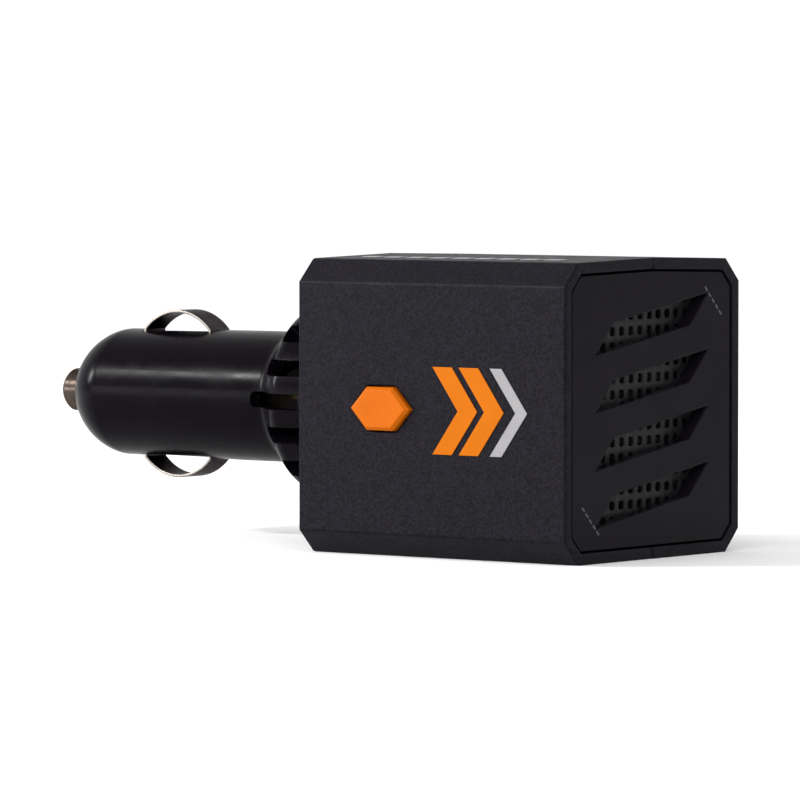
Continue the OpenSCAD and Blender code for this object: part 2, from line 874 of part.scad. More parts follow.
module emitter_plate() {
    color("whitesmoke") translate([emitter_x, emitter_y, -emitter_h / 2])
        cube([emitter_w, emitter_t, emitter_h]);
}

module emitter_holder() {
    arm_z = emitter_h / 2 - groove;
    depth = inner_w - emitter_y + 1;
    color("ivory") difference() {
        union() {
            for (s = [-1, 1]) translate([emitter_x, emitter_y - 1, s * (arm_z + arm_t / 2) - arm_t / 2])
                cube([emitter_w, depth, arm_t]);
            translate([emitter_x, inner_w - 1.2, -arm_z - 1]) cube([emitter_w, 1.2, 2 * arm_z + 2]);
        }
        translate([emitter_x - 1, emitter_y, -emitter_h / 2]) cube([emitter_w + 2, emitter_t, emitter_h]);
    }
}

module emitter_leads() {
    top_y = board_face_y + 1 + core_h;
    lead_x = board_x + core_x + core_l / 2;
    color("dimgray") for (s = [-1, 1])
        wire([
            [lead_x + s * 3, top_y, 0], [lead_x + s * 3, top_y + 1.5, 0], [emitter_x + 11 + s * 4, 4, s * 3],
            [emitter_x + 11 + s * 4, emitter_y - 2.5, s * 3], [emitter_x + 11 + s * 4, emitter_y, s * 3]
        ], 0.6);
}

left_shell();
right_shell();
housing_screws();
front_panel();
vent_plate();
side_marks_orange();
side_mark_grey();
top_print();
button_cap();
button_plunger();
plug_barrel();
nose_cap();
tip_contact();
tip_spring();
ground_contact_top();
ground_contact_bottom();
ground_bracket();
fuse_glass();
fuse_cap_front();
fuse_cap_rear();
fuse_element();
fuse_holder();
fuse_terminal();
positive_wire();
negative_wire();
main_board();
board_screws();
push_switch();
transformer_core();
transformer_winding();
capacitor_large();
capacitor_small();
switching_transistor();
heat_sink();
choke_coil();
control_chip();
fan_frame();
fan_stator();
fan_rotor();
fan_magnet_ring();
fan_shaft();
fan_screws();
fan_lead();
emitter_plate();
emitter_holder();
emitter_leads();
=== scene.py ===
import bmesh
import bpy
import math
from mathutils import Matrix, Vector


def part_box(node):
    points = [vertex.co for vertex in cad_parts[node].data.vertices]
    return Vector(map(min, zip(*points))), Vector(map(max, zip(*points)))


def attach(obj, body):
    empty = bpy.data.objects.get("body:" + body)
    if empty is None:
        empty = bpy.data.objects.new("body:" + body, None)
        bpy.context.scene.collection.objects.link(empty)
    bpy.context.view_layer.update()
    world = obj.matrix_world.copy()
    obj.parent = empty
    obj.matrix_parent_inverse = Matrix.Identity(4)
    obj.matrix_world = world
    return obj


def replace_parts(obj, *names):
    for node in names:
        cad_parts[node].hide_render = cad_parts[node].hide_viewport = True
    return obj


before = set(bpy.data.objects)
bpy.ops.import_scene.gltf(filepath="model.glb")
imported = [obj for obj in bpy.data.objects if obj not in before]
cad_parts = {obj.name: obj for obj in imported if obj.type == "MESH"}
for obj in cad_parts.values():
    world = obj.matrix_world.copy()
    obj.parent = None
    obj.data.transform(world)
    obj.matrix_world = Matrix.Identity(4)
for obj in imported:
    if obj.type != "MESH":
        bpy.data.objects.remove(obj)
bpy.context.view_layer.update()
mm = 0.001
snap = 1e-7
overlap = 0.02 * mm

# ---- Camera ----
# A long lens looks at the box's button side from a little in front of it and a little above.
# It is aimed beside the box, so that the whole plug fits in the frame.
view_azimuth = math.radians(36.97)
view_elevation = math.radians(2.67)
view_distance = 987 * mm
view_centre = Vector((37.98 * mm, 0, 0))
aim_left = 13.51 * mm
aim_up = 0.58 * mm
back = Vector((
    math.sin(view_azimuth) * math.cos(view_elevation),
    -math.cos(view_azimuth) * math.cos(view_elevation),
    math.sin(view_elevation),
))
right = Vector((math.cos(view_azimuth), math.sin(view_azimuth), 0))
up = back.cross(right)
camera = bpy.data.objects.new("camera", bpy.data.cameras.new("camera"))
bpy.context.collection.objects.link(camera)
camera.data.lens = 279.44
camera.data.clip_start = 0.05
camera.data.clip_end = 30
camera.location = view_centre + back * view_distance
aim = view_centre - right * aim_left + up * aim_up
camera.rotation_euler = (camera.location - aim).to_track_quat("Z", "Y").to_euler()
bpy.context.scene.camera = camera

# ---- Half shells ----
# Two moulded halves of black plastic with a fine spark-eroded grain, split down the middle.
# They start as one eight-sided box, which is given its wall, cut open and parted.
shell_low, shell_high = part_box("left_shell")
rear_x = shell_low[0]
front_x = shell_high[0]
half_w = -shell_low[1]
half_h = -shell_low[2]
crown = shell_high[2] - half_h
box_middle = (rear_x + front_x) / 2
wall = 1.8 * mm
chamfer = 3.6 * mm
edge_round = 0.35 * mm
neck_hole_r = 14.9 * mm


def material_nodes(name, roughness, metallic=0.0):
    """A new material with its shader, node list, link call and object coordinates."""
    material = bpy.data.materials.new(name)
    material.use_nodes = True
    tree = material.node_tree
    shader = tree.nodes["Principled BSDF"]
    shader.inputs["Roughness"].default_value = roughness
    shader.inputs["Metallic"].default_value = metallic
    place = tree.nodes.new("ShaderNodeTexCoord").outputs["Object"]
    return material, shader, tree.nodes, tree.links.new, place


def noise(nodes, link, place, size, detail=4.0, stretch=None):
    """Noise whose blotches are about size across, drawn out where stretch is below 1."""
    texture = nodes.new("ShaderNodeTexNoise")
    texture.inputs["Scale"].default_value = 1 / size
    texture.inputs["Detail"].default_value = detail
    if stretch:
        mapping = nodes.new("ShaderNodeMapping")
        mapping.inputs["Scale"].default_value = stretch
        link(place, mapping.inputs["Vector"])
        place = mapping.outputs["Vector"]
    link(place, texture.inputs["Vector"])
    return texture.outputs["Fac"]


def tint(nodes, link, fac, dark, light, low=0.35, high=0.65):
    """A colour that runs from dark to light as fac goes from low to high."""
    ramp = nodes.new("ShaderNodeValToRGB")
    ramp.color_ramp.elements[0].position = low
    ramp.color_ramp.elements[0].color = (*dark, 1)
    ramp.color_ramp.elements[1].position = high
    ramp.color_ramp.elements[1].color = (*light, 1)
    link(fac, ramp.inputs["Fac"])
    return ramp.outputs["Color"]


def spread(nodes, link, fac, low, high):
    """A value that runs from low to high with fac."""
    scale = nodes.new("ShaderNodeMapRange")
    scale.inputs["From Min"].default_value = 0.3
    scale.inputs["From Max"].default_value = 0.7
    scale.inputs["To Min"].default_value = low
    scale.inputs["To Max"].default_value = high
    link(fac, scale.inputs["Value"])
    return scale.outputs["Result"]


def relief(nodes, link, height, depth, strength=1.0, under=None):
    """A bump of that depth in metres, over another bump if one is given."""
    bump = nodes.new("ShaderNodeBump")
    bump.inputs["Distance"].default_value = depth
    bump.inputs["Strength"].default_value = strength
    link(height, bump.inputs["Height"])
    if under:
        link(under, bump.inputs["Normal"])
    return bump.outputs["Normal"]


def moulded_plastic(name, dark, light, roughness, grain, depth, specular=0.5, speckled=False):
    """Moulded plastic: a faint mottle or speckle, a grain of that size and depth, and handling marks."""
    material, shader, nodes, link, place = material_nodes(name, roughness)
    shader.inputs["Specular IOR Level"].default_value = specular
    mottle = noise(nodes, link, place, 7 * mm)
    fine = noise(nodes, link, place, grain, 2)
    link(tint(nodes, link, fine if speckled else mottle, dark, light), shader.inputs["Base Color"])
    rubbed = noise(nodes, link, place, 3 * mm, 6)
    link(spread(nodes, link, rubbed, roughness - 0.05, roughness + 0.05), shader.inputs["Roughness"])
    soft = relief(nodes, link, mottle, 6 * depth, 0.15)
    link(relief(nodes, link, fine, depth, 0.8, soft), shader.inputs["Normal"])
    return material


shell_plastic = moulded_plastic(
    "shell_plastic", (0.0018, 0.0013, 0.0028), (0.0086, 0.0075, 0.0116), 0.5,
    grain=0.36 * mm, depth=0.045 * mm, specular=0.06, speckled=True
)


def keep_piece(bm, name, material, body, cleaned=True):
    """Turns a bmesh into a smooth-shaded object that rides on a body."""
    if cleaned:
        bmesh.ops.remove_doubles(bm, verts=bm.verts, dist=0.001 * mm)
        bmesh.ops.recalc_face_normals(bm, faces=bm.faces)
    for face in bm.faces:
        face.smooth = True
    mesh = bpy.data.meshes.new(name)
    bm.to_mesh(mesh)
    bm.free()
    mesh.materials.append(material)
    piece = bpy.data.objects.new(name, mesh)
    bpy.context.collection.objects.link(piece)
    if body:
        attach(piece, body)
    return piece


def round_edges(piece, width, angle=30, segments=3):
    """Rounds a piece's sharp edges and evens out its shading."""
    bevel = piece.modifiers.new("rounding", "BEVEL")
    bevel.width = width
    bevel.segments = segments
    bevel.limit_method = "ANGLE"
    bevel.angle_limit = math.radians(angle)
    bevel.use_clamp_overlap = True
    even = piece.modifiers.new("even_shading", "WEIGHTED_NORMAL")
    even.keep_sharp = True
    even.weight = 60


def carve(piece, tool):
    """Cuts a tool's shape out of a piece, then throws the tool away."""
    knife = piece.modifiers.new("carve", "BOOLEAN")
    knife.solver = "EXACT"
    knife.object = tool
    graph = bpy.context.evaluated_depsgraph_get()
    carved = bpy.data.meshes.new_from_object(piece.evaluated_get(graph))
    piece.modifiers.remove(knife)
    old = piece.data
    piece.data = carved
    carved.name = old.name
    bpy.data.objects.remove(tool)
    bpy.data.meshes.remove(old)


def all_parts(bm):
    """Every vertex, edge and face of a bmesh, as its operators take them."""
    return bm.verts[:] + bm.edges[:] + bm.faces[:]


def verts_in(parts):
    """The vertices among an operator's results."""
    return [part for part in parts if isinstance(part, bmesh.types.BMVert)]


def octagon_prism(x0, x1, inset, ridge=0.0):
    """An eight-sided prism along X whose sides are inset from the casing's, with a raised ridge."""
    bm = bmesh.new()
    bmesh.ops.create_cube(bm, size=1)
    size = Vector((x1 - x0, 2 * (half_w - inset), 2 * (half_h - inset)))
    bmesh.ops.scale(bm, vec=size, verts=bm.verts)
    bmesh.ops.translate(bm, vec=((x0 + x1) / 2, 0, 0), verts=bm.verts)
    long_edges = [e for e in bm.edges if abs(e.verts[0].co.x - e.verts[1].co.x) > (x1 - x0) / 2]
    leg = chamfer - inset * (2 - math.sqrt(2))
    bmesh.ops.bevel(bm, geom=long_edges, offset=leg, segments=1, affect="EDGES", profile=0.5, material=-1)
    if ridge:
        bmesh.ops.bisect_plane(bm, geom=all_parts(bm), dist=snap, plane_co=(0, 0, 0), plane_no=(0, 1, 0))
        crest = [v for v in bm.verts if abs(v.co.y) < 1e-6 and v.co.z > 0]
        bmesh.ops.translate(bm, vec=(0, 0, ridge), verts=crest)
    return bm


def tool_from(bm):
    """A cutting tool, which is never kept."""
    return keep_piece(bm, "tool", shell_plastic, None)


def cylinder(radius, start, end, segments=64):
    """A closed cylinder from start to end."""
    start = Vector(start)
    span = Vector(end) - start
    bm = bmesh.new()
    turn = span.to_track_quat("Z", "Y").to_matrix().to_4x4()
    place = Matrix.Translation(start + span / 2) @ turn
    bmesh.ops.create_cone(
        bm, cap_ends=True, segments=segments, radius1=radius, radius2=radius, depth=span.length, matrix=place
    )
    return bm


def button_outline(grow, y0, y1):
    """A six-sided prism along Y in the button's shape, grown outwards by grow."""
    bm = bmesh.new()
    quarter_turn = Matrix.Rotation(math.radians(90), 4, "Z")
    bmesh.ops.create_circle(bm, cap_ends=True, segments=6, radius=1, matrix=quarter_turn)
    point = button_w / 2 + point_growth * grow
    flat = button_flat / 2 + flat_growth * grow
    for v in bm.verts:
        tip = abs(v.co.x) > 0.9
        height = 0 if tip else math.copysign(button_h / 2 + grow, v.co.y)
        reach = math.copysign(point if tip else flat, v.co.x)
        v.co = (button_x + reach, y0, button_z + height)
    bmesh.ops.recalc_face_normals(bm, faces=bm.faces)
    side = bmesh.ops.extrude_face_region(bm, geom=bm.faces[:])["geom"]
    bmesh.ops.translate(bm, vec=(0, y1 - y0, 0), verts=verts_in(side))
    bmesh.ops.recalc_face_normals(bm, faces=bm.faces)
    return bm


button_low, button_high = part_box("button_cap")
button_x = (button_low[0] + button_high[0]) / 2
button_z = (button_low[2] + button_high[2]) / 2
button_w = 11.6 * mm
button_h = 6.8 * mm
button_flat = 5.2 * mm
button_gap = 0.16 * mm
point_growth = 1.15
flat_growth = 0.55

screw_low, screw_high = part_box("housing_screws")
screw_head_r = 2.3 * mm
well_r = screw_head_r + 0.2 * mm
boss_r = 3.4 * mm
screw_z = screw_high[2] - screw_head_r
screw_xs = (screw_low[0] + screw_head_r, screw_high[0] - screw_head_r)
well_floor = 6 * mm
boss_depth = 4 * mm


def screw_boss(x, z):
    """The tube inside the far shell that a casing screw's head goes down."""
    bm = cylinder(boss_r, (x, well_floor - boss_depth, z), (x, half_w - wall / 2, z), 48)
    outer = keep_piece(bm, "boss", shell_plastic, None)
    carve(outer, tool_from(cylinder(well_r, (x, well_floor, z), (x, half_w + wall, z), 48)))
    return outer


def half_shell(name, side):
    """One half of the casing; side is -1 for the button side."""
    bm = octagon_prism(rear_x, front_x, 0, crown)
    mouth = [f for f in bm.faces if f.normal.x > 0.9]
    bmesh.ops.delete(bm, geom=mouth, context="FACES")
    shell = keep_piece(bm, name, shell_plastic, None)
    thick = shell.modifiers.new("wall", "SOLIDIFY")
    thick.thickness = wall
    thick.offset = -1
    thick.use_even_offset = True
    carve(shell, tool_from(cylinder(neck_hole_r, (rear_x - wall, 0, 0), (rear_x + 2 * wall, 0, 0), 96)))
    shell.modifiers.clear()
    if side < 0:
        carve(shell, tool_from(button_outline(button_gap, -half_w - wall, -half_w + 2 * wall)))
    else:
        for x in screw_xs:
            for z in (-screw_z, screw_z):
                hole = cylinder(well_r, (x, half_w - 2 * wall, z), (x, half_w + wall, z), 48)
                carve(shell, tool_from(hole))
    bm = bmesh.new()
    bm.from_mesh(shell.data)
    bmesh.ops.bisect_plane(
        bm, geom=all_parts(bm), dist=snap, plane_co=(0, 0, 0), plane_no=(0, -side, 0), clear_outer=True
    )
    bmesh.ops.holes_fill(bm, edges=[e for e in bm.edges if e.is_boundary], sides=0)
    if side > 0:
        for x in screw_xs:
            for z in (-screw_z, screw_z):
                boss = screw_boss(x, z)
                bm.from_mesh(boss.data)
                bpy.data.objects.remove(boss)
    bpy.data.objects.remove(shell)
    shell = keep_piece(bm, name, shell_plastic, "housing")
    round_edges(shell, edge_round)
    return shell


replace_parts(half_shell("left_half", -1), "left_shell")
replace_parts(half_shell("right_half", 1), "right_shell")

# ---- Front panel ----
# A glossy black panel set into the casing's mouth, with four slanted windows in a row.
# It is an eight-sided plate, and the windows are sheared blocks cut out of it.
panel_low, panel_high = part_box("front_panel")
panel_inset = half_w - panel_high[1]
window_l = 25 * mm
window_h = 5 * mm
window_pitch = 8.9 * mm
window_slant = math.radians(9)
window_depth = 8 * mm
gloss_plastic = moulded_plastic(
    "panel_gloss", (0.006, 0.005, 0.0068), (0.0075, 0.0062, 0.0084), 0.12,
    grain=0.6 * mm, depth=0.0006 * mm, specular=0.035
)


def window_block(z):
    """A block for one window: its ends lean at 45 degrees and it climbs to the far side."""
    bm = bmesh.new()
    bmesh.ops.create_cube(bm, size=1)
    bmesh.ops.scale(bm, vec=(window_depth, window_l, window_h), verts=bm.verts)
    for v in bm.verts:
        climb = math.tan(window_slant) * v.co.y
        v.co.y += v.co.z
        v.co.z += climb
    bmesh.ops.translate(bm, vec=(panel_high[0], 0, z), verts=bm.verts)
    return bm


bm = octagon_prism(panel_low[0], panel_high[0], panel_inset, crown)
panel = keep_piece(bm, "vented_panel", gloss_plastic, "housing")
for row in (-1.5, -0.5, 0.5, 1.5):
    carve(panel, tool_from(window_block(row * window_pitch)))
round_edges(panel, 0.18 * mm)
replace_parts(panel, "front_panel")

# ---- Panel ticks ----
# Two rows of short printed ticks in opposite corners of the panel, in place of small lettering.
# Each tick is a thin rounded bar that lies on the panel's face.
tick_count = 5
tick_size = (0.06 * mm, 0.32 * mm, 0.9 * mm)
tick_pitch = 0.95 * mm
tick_y = 16.4 * mm
tick_z = 16.6 * mm
tick_turn = Matrix.Rotation(math.radians(45), 3, "X")
tick_ink = moulded_plastic("tick_ink", (0.035, 0.035, 0.04), (0.05, 0.05, 0.056), 0.5, 0.2 * mm, 0.002 * mm)
bm = bmesh.new()
for corner in (1, -1):
    for step in range(tick_count):
        bar = bmesh.ops.create_cube(bm, size=1)["verts"]
        bmesh.ops.scale(bm, vec=tick_size, verts=bar)
        bmesh.ops.rotate(bm, cent=(0, 0, 0), matrix=tick_turn, verts=bar)
        along = (step - tick_count // 2) * tick_pitch
        place = (panel_high[0] + tick_size[0] / 2, corner * tick_y + along, corner * tick_z - along)
        bmesh.ops.translate(bm, vec=place, verts=bar)
ticks = keep_piece(bm, "panel_ticks", tick_ink, "housing")
round_edges(ticks, 0.02 * mm, segments=2)

# ---- Perforated plate ----
# Black painted sheet metal behind the windows, punched all over with a square grid of holes.
# Every face of a grid is inset, its inner ring is rounded, and what is inside it is taken out.
plate_low, plate_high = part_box("vent_plate")
hole_pitch = 2.46 * mm
hole_r = 0.775 * mm
hole_rows = 17
hole_inset = 0.3 * mm
painted_metal = moulded_plastic(
    "plate_paint", (0.008, 0.0075, 0.009), (0.012, 0.011, 0.013), 0.38,
    grain=0.15 * mm, depth=0.004 * mm, specular=0.12
)
bm = bmesh.new()
bmesh.ops.create_grid(bm, x_segments=hole_rows, y_segments=hole_rows, size=hole_rows * hole_pitch / 2)
bmesh.ops.subdivide_edges(bm, edges=bm.edges[:], cuts=2, use_grid_fill=False)
cells = [f for f in bm.faces]
bmesh.ops.inset_individual(bm, faces=cells, thickness=hole_inset)
for face in cells:
    middle = face.calc_center_median()
    for v in face.verts:
        v.co = middle + (v.co - middle).normalized() * hole_r
bmesh.ops.delete(bm, geom=cells, context="FACES")
bmesh.ops.rotate(bm, cent=(0, 0, 0), matrix=Matrix.Rotation(math.radians(90), 3, "Y"), verts=bm.verts)
for ends in ((0, 1, 0), (0, -1, 0), (0, 0, 1), (0, 0, -1)):
    edge = Vector(ends) * plate_high[1]
    bmesh.ops.bisect_plane(
        bm, geom=all_parts(bm), dist=snap, plane_co=edge, plane_no=ends, clear_outer=True
    )
reach = 2 * plate_high[1] - (chamfer - panel_inset * (2 - math.sqrt(2)))
for corner in ((0, 1, 1), (0, 1, -1), (0, -1, 1), (0, -1, -1)):
    edge = Vector(corner) * reach / 2
    bmesh.ops.bisect_plane(
        bm, geom=all_parts(bm), dist=snap, plane_co=edge, plane_no=corner, clear_outer=True
    )
bmesh.ops.translate(bm, vec=(plate_high[0], 0, 0), verts=bm.verts)
for face in bm.faces:
    if face.normal.x < 0:
        face.normal_flip()
plate = keep_piece(bm, "perforated_plate", painted_metal, "housing", cleaned=False)
sheet_metal = plate.modifiers.new("sheet", "SOLIDIFY")
sheet_metal.thickness = plate_high[0] - plate_low[0]
sheet_metal.offset = -1
round_edges(plate, 0.08 * mm, 40, 2)
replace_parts(plate, "vent_plate")

# ---- Push button ----
# A bright orange six-sided cap with softened edges that stands just proud of the casing.
# Its outline is drawn out along Y, and its flat outer face is drawn in by a bevel.
orange_plastic = moulded_plastic(
    "button_orange", (0.40, 0.084, 0.0003), (0.44, 0.094, 0.0006), 0.36,
    grain=0.25 * mm, depth=0.003 * mm, specular=0.06
)
cap_face = button_low[1]
cap_bevel = 0.5 * mm
flange_reach = 1 * mm
flange_t = 1 * mm
bm = button_outline(0, button_high[1], cap_face + cap_bevel)
face = min(bm.faces, key=lambda f: f.calc_center_median().y)
bmesh.ops.inset_region(bm, faces=[face], thickness=cap_bevel, use_even_offset=True)
bmesh.ops.translate(bm, vec=(0, -cap_bevel, 0), verts=face.verts[:])
button = keep_piece(bm, "push_button", orange_plastic, "button")
round_edges(button, 0.1 * mm, 20)
bm = button_outline(flange_reach, button_high[1] - flange_t, button_high[1])
flange = keep_piece(bm, "button_flange", orange_plastic, "button")
round_edges(flange, 0.15 * mm)
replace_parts(button, "button_cap")

# ---- Side marks ----
# Printed chevrons in orange and light grey that point to the vented front.
# Each is a strip with its middle pushed forwards, and has the thickness of a heavy print.
mark_low, mark_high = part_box("side_marks_orange")
grey_low, grey_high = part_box("side_mark_grey")
mark_length = grey_high[0] - mark_low[0]
mark_depth = mark_length * 0.26
orange_bar = mark_length * 0.2
orange_step = mark_length * 0.27
grey_bar = mark_length * 0.12
orange_ink = moulded_plastic(
    "orange_ink", (0.405, 0.100, 0.0003), (0.44, 0.109, 0.0006), 0.42,
    grain=0.2 * mm, depth=0.004 * mm, specular=0.05
)
grey_ink = moulded_plastic(
    "grey_ink", (0.215, 0.209, 0.215), (0.245, 0.238, 0.245), 0.42,
    grain=0.2 * mm, depth=0.004 * mm, specular=0.2
)


def chevron(bm, x, bar):
    """Adds one chevron whose bar is that long, starting at x."""
    strip = bmesh.ops.create_grid(bm, x_segments=1, y_segments=2, size=0.5)["verts"]
    for v in strip:
        bend = mark_depth if abs(v.co.y) < 0.1 else 0
        v.co = (x + (v.co.x + 0.5) * bar + bend, mark_high[1], v.co.y * (mark_high[2] - mark_low[2]))
    faces = list({f for v in strip for f in v.link_faces})
    raised = bmesh.ops.extrude_face_region(bm, geom=faces)["geom"]
    bmesh.ops.translate(bm, vec=(0, mark_low[1] - mark_high[1], 0), verts=verts_in(raised))


bm = bmesh.new()
chevron(bm, mark_low[0], orange_bar)
chevron(bm, mark_low[0] + orange_step, orange_bar)
orange_marks = keep_piece(bm, "orange_chevrons", orange_ink, "housing")
round_edges(orange_marks, 0.04 * mm, 50, 2)
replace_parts(orange_marks, "side_marks_orange")
bm = bmesh.new()
chevron(bm, grey_low[0], grey_bar)
grey_mark = keep_piece(bm, "grey_chevron", grey_ink, "housing")
round_edges(grey_mark, 0.04 * mm, 50, 2)
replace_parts(grey_mark, "side_mark_grey")

# ---- Plug barrel and neck ----
# One smooth, half-gloss black moulding: a straight barrel that flares into a wide, slotted neck.
# The skin is spun from its outline, its slots and strip windows are cut out, then it gets a wall.
barrel_low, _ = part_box("plug_barrel")
barrel_x = barrel_low[0]
plug_r = 10.65 * mm
band_x = -9 * mm
front_r = 10.48 * mm
flare_r = 3 * mm
round_r = 4 * mm
neck_r = 16 * mm
flare_angle = math.radians(44)
barrel_wall = 2.3 * mm
slot_corner = 0.9 * mm
corner_near = 1.1 * mm
corner_cos = math.cos(math.radians(15))
slot_h = 2.6 * mm
slot_pitch = 5.4 * mm
slot_end = rear_x - 6.1 * mm
slot_starts = {0: -1.5 * mm, 1: 1.7 * mm, 2: 6 * mm}
window_x0 = -31 * mm
window_x1 = -16.1 * mm
window_half = 2.8 * mm
skin_weld = 0.03 * mm
plug_plastic = moulded_plastic(
    "plug_plastic", (0.0018, 0.0011, 0.0022), (0.0026, 0.0017, 0.0031), 0.24,
    grain=0.5 * mm, depth=0.004 * mm, specular=0.032
)


def bow(centre_x, centre_r, radius, start, end, steps):
    """Points of an arc in an outline of (x, radius) points."""
    angles = [start + (end - start) * i / steps for i in range(steps + 1)]
    return [(centre_x + radius * math.cos(a), centre_r + radius * math.sin(a)) for a in angles]


def spun(outline, segments):
    """A skin spun round the plug's axis from (x, radius) points."""
    bm = bmesh.new()
    verts = [bm.verts.new((x, 0, max(r, 0))) for x, r in outline]
    edges = [bm.edges.new(pair) for pair in zip(verts, verts[1:])]
    bmesh.ops.spin(
        bm, geom=verts + edges, cent=(0, 0, 0), axis=(1, 0, 0),
        angle=2 * math.pi, steps=segments, use_merge=True
    )
    bmesh.ops.remove_doubles(bm, verts=bm.verts, dist=0.0005 * mm)
    bmesh.ops.recalc_face_normals(bm, faces=bm.faces)
    return bm


flare_top_r = plug_r + flare_r * (1 - math.cos(flare_angle))
round_foot_r = neck_r - round_r * (1 - math.cos(flare_angle))
flare_run = (round_foot_r - flare_top_r) / math.tan(flare_angle)
round_x = (flare_r + round_r) * math.sin(flare_angle) + flare_run
quarter = math.pi / 2
outline = [(barrel_x, front_r), (window_x0, front_r), (band_x, plug_r)]
outline += bow(0, plug_r + flare_r, flare_r, -quarter, -quarter + flare_angle, 12)
outline += bow(round_x, neck_r - round_r, round_r, quarter + flare_angle, quarter, 8)
outline += [(rear_x + overlap, neck_r)]
bm = spun(outline, 144)


def slice_skin(bm, point, normal):
    """Cuts an edge line through the skin without parting it."""
    bmesh.ops.bisect_plane(bm, geom=all_parts(bm), dist=snap, plane_co=point, plane_no=normal)


slots = []
for level in range(-2, 3):
    centre = level * slot_pitch
    start = slot_starts[abs(level)]
    slots.append((start, slot_end, centre - slot_h / 2, centre + slot_h / 2))
for z in sorted({z for slot in slots for z in slot[2:]}):
    slice_skin(bm, (0, 0, z), (0, 0, 1))
for x in sorted({x for slot in slots for x in slot[:2]} | {window_x0, window_x1}):
    slice_skin(bm, (x, 0, 0), (1, 0, 0))
for y in (-window_half, window_half):
    slice_skin(bm, (0, y, 0), (0, 1, 0))


def corner_cuts(slot):
    """The short planes that round a slot's corners, as (point, outward direction) pairs."""
    x0, x1, z0, z1 = slot
    for x, turn_x in ((x0 + slot_corner, -1), (x1 - slot_corner, 1)):
        for z, turn_z in ((z0 + slot_corner, -1), (z1 - slot_corner, 1)):
            for lean in (15, 45, 75):
                a = math.radians(lean)
                yield Vector((x, 0, z)), Vector((turn_x * math.cos(a), 0, turn_z * math.sin(a)))


def in_rounded_slot(face, slot):
    """Whether a face lies inside a slot's rounded outline."""
    x, y, z = face.calc_center_median()
    if not (slot[0] < x < slot[1] and slot[2] < z < slot[3]):
        return False
    for point, out in corner_cuts(slot):
        away = Vector((x, 0, z)) - point
        past_corner = away.x * out.x > 0 and away.z * out.z > 0
        if past_corner and away.dot(out) > slot_corner * corner_cos:
            return False
    return True


for slot in slots:
    for point, out in corner_cuts(slot):
        middle = point + out.normalized() * slot_corner
        near = []
        for face in bm.faces:
            away = face.calc_center_median() - middle
            if math.hypot(away.x, away.z) < corner_near:
                near.append(face)
        parts = near + list({e for f in near for e in f.edges}) + list({v for f in near for v in f.verts})
        cut = point + out * slot_corner * corner_cos
        bmesh.ops.bisect_plane(bm, geom=parts, dist=snap, plane_co=cut, plane_no=out)
gone = []
for face in bm.faces:
    x, y, z = face.calc_center_median()
    in_window = window_x0 < x < window_x1 and abs(y) < window_half
    if in_window or any(in_rounded_slot(face, slot) for slot in slots):
        gone.append(face)
bmesh.ops.delete(bm, geom=gone, context="FACES")
bmesh.ops.remove_doubles(bm, verts=bm.verts, dist=skin_weld)
barrel = keep_piece(bm, "plug_and_neck", plug_plastic, "housing")
thick = barrel.modifiers.new("wall", "SOLIDIFY")
thick.thickness = barrel_wall
thick.offset = -1
thick.use_even_offset = False
round_edges(barrel, 0.22 * mm, 35)
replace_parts(barrel, "plug_barrel")

# ---- Nose ----
# A domed cap on the front of the barrel, with a rounded lip round the hole for the contact.
# It is spun from its outline, inside and out, and joins the barrel without a step.
nose_l = 10.3 * mm
nose_power = 1.77
nose_end_r = 5.2 * mm
tip_r = 3.55 * mm
lip_r = 0.8 * mm
nose_hole_r = tip_r + 0.05 * mm
nose_inner_r = 8 * mm
nose_floor = 0.5 * mm
seat_depth = 2.6 * mm
seat_r = 5.1 * mm
dome_steps = 30
dome_stop_r = nose_end_r + 0.3 * mm
nose_x = barrel_x - nose_l * (1 - (nose_end_r / front_r) ** nose_power) ** (1 / nose_power)
dome = []
for step in range(dome_steps + 1):
    a = math.radians(step * 90 / dome_steps)
    r = front_r * math.cos(a) ** (2 / nose_power)
    if r > dome_stop_r:
        dome.append((barrel_x - nose_l * math.sin(a) ** (2 / nose_power), r))
outline = [(barrel_x + overlap, nose_inner_r), (barrel_x + overlap, front_r)] + dome
outline += bow(nose_x + lip_r / 2, nose_hole_r + lip_r, lip_r, math.radians(80), math.radians(255), 10)
outline += [(nose_x + lip_r, nose_hole_r), (nose_x + seat_depth, nose_hole_r), (nose_x + seat_depth, seat_r)]
outline += [(barrel_x - nose_floor, nose_inner_r), (barrel_x + overlap, nose_inner_r)]
nose = keep_piece(spun(outline, 128), "domed_nose", plug_plastic, "housing")
even = nose.modifiers.new("even_shading", "WEIGHTED_NORMAL")
even.keep_sharp = True
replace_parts(nose, "nose_cap")

# ---- Centre contact ----
# A nickel-plated stud that springs in and out of the nose, with a turned, slightly worn dome.
# It is spun from its outline; fine rings from the lathe run round it.
contact_low, contact_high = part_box("tip_contact")


def plated_metal(name, dark, light, roughness, stretch, marks=0.4 * mm, depth=0.004 * mm, edge=1.0):
    """Plated or bare metal with marks drawn out one way, and tarnish in soft patches."""
    material, shader, nodes, link, place = material_nodes(name, roughness, 1.0)
    shader.inputs["Specular Tint"].default_value = (edge, edge, edge, 1)
    tarnish = noise(nodes, link, place, 2.5 * mm, 5)
    link(tint(nodes, link, tarnish, dark, light), shader.inputs["Base Color"])
    drawn = noise(nodes, link, place, marks, 3, stretch)
    link(spread(nodes, link, drawn, roughness - 0.07, roughness + 0.1), shader.inputs["Roughness"])
    link(relief(nodes, link, drawn, depth, 0.6), shader.inputs["Normal"])
    return material


